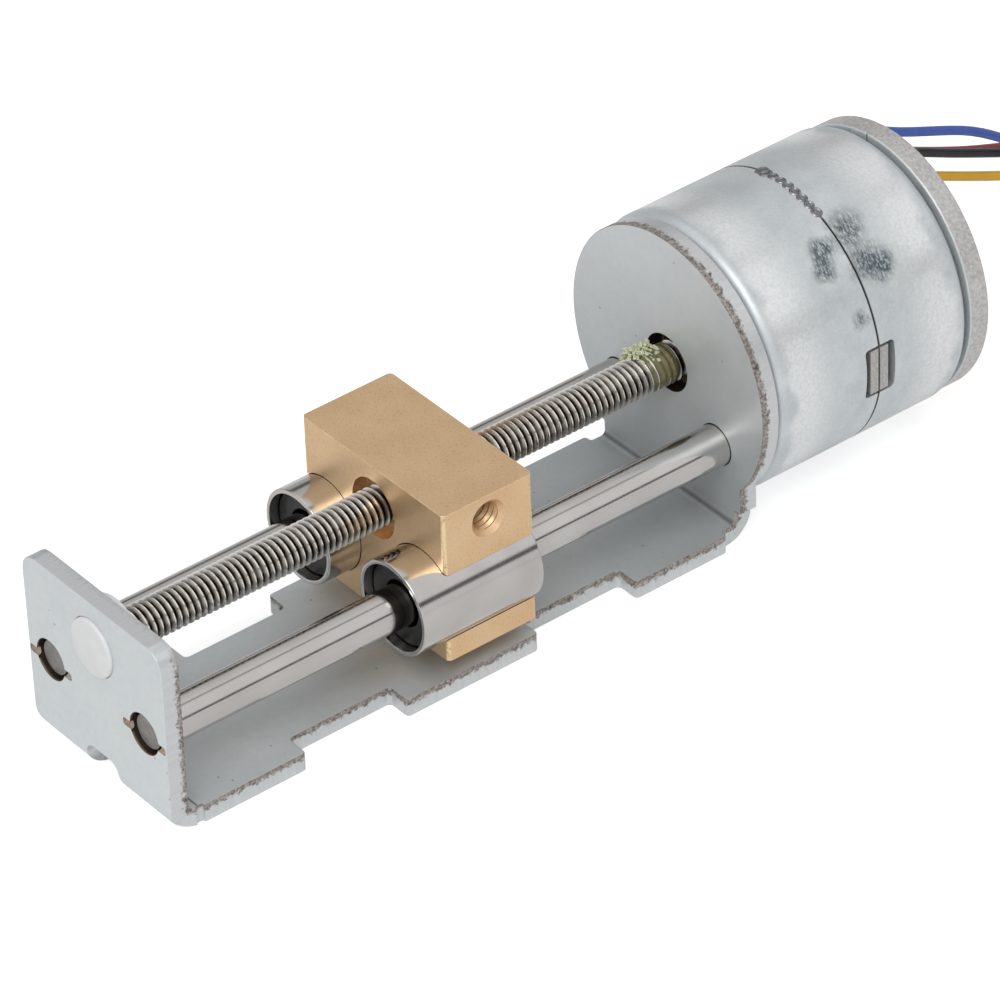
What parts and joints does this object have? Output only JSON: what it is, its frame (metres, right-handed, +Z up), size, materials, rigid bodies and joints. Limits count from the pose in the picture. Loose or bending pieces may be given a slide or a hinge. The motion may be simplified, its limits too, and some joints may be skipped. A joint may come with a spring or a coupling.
{
  "type": "stepper linear slide",
  "caption": "Miniature linear slide: folded steel bracket, guide rods, brass nut block on ball bushings, lead screw driven directly by a can-stack stepper motor with flying leads.",
  "frame": {"origin": "middle of the bracket's underside, under the lead screw", "axes": "+X along the lead screw towards the motor, +Z up out of the bracket, +Y to the side where the leads leave the motor"},
  "size_m": [0.1122, 0.025, 0.0214],
  "materials": {
    "zinc_steel": "zinc plated, satin",
    "can_steel": "galvanised, mottled",
    "polished_steel": "ground and polished",
    "screw_steel": "rolled thread",
    "brass": "fine milled",
    "nylon": "moulded",
    "black_plastic": "moulded",
    "copper_wire": "enamelled winding",
    "ferrite": "sintered",
    "bronze": "sintered",
    "tin": "tinned",
    "blue_pvc": "extruded insulation",
    "black_pvc": "extruded insulation",
    "red_pvc": "extruded insulation",
    "yellow_pvc": "extruded insulation"
  },
  "bodies": {
    "frame": {"bracket": "zinc_steel", "end_bush": "nylon", "guide_rod_near": "polished_steel", "guide_rod_far": "polished_steel", "front_cup": "can_steel", "rear_cup": "can_steel", "front_inner_yoke": "can_steel", "rear_inner_yoke": "can_steel", "rear_plate": "zinc_steel", "front_bobbin": "black_plastic", "rear_bobbin": "black_plastic", "front_coil": "copper_wire", "rear_coil": "copper_wire", "front_bearing": "bronze", "rear_bearing": "bronze", "terminal_block": "black_plastic", "terminal_pin_blue": "tin", "terminal_pin_yellow": "tin", "terminal_pin_red": "tin", "terminal_pin_black": "tin", "lead_blue": "blue_pvc", "lead_yellow": "yellow_pvc", "lead_red": "red_pvc", "lead_black": "black_pvc", "lead_coil": "black_pvc", "lead_tie": "black_plastic", "lead_end_blue": "blue_pvc", "lead_end_yellow": "yellow_pvc", "lead_end_red": "red_pvc", "lead_end_black": "black_pvc"},
    "rotor": {"lead_screw": "screw_steel", "rotor_hub": "nylon", "rotor_magnet": "ferrite", "thrust_washer_front": "polished_steel", "thrust_washer_rear": "polished_steel"},
    "carriage": {"nut_block": "brass", "bearing_sleeve_near": "polished_steel", "bearing_sleeve_far": "polished_steel", "bearing_cage_near": "black_plastic", "bearing_cage_far": "black_plastic"}
  },
  "joints": [
    {"name": "screw_spin", "type": "hinge", "parent": "frame", "child": "rotor", "pos_m": [0, 0, 0.01117], "axis": [1, 0, 0], "range_deg": [-10296.5, 13248.5]},
    {"name": "carriage_slide", "type": "slide", "parent": "frame", "child": "carriage", "axis": [1, 0, 0], "range_m": [-0.0184, 0.0143]}
  ],
  "couplings": [
    {"joint": "screw_spin", "follows": "carriage_slide", "rad_per_m": -12566}
  ]
}
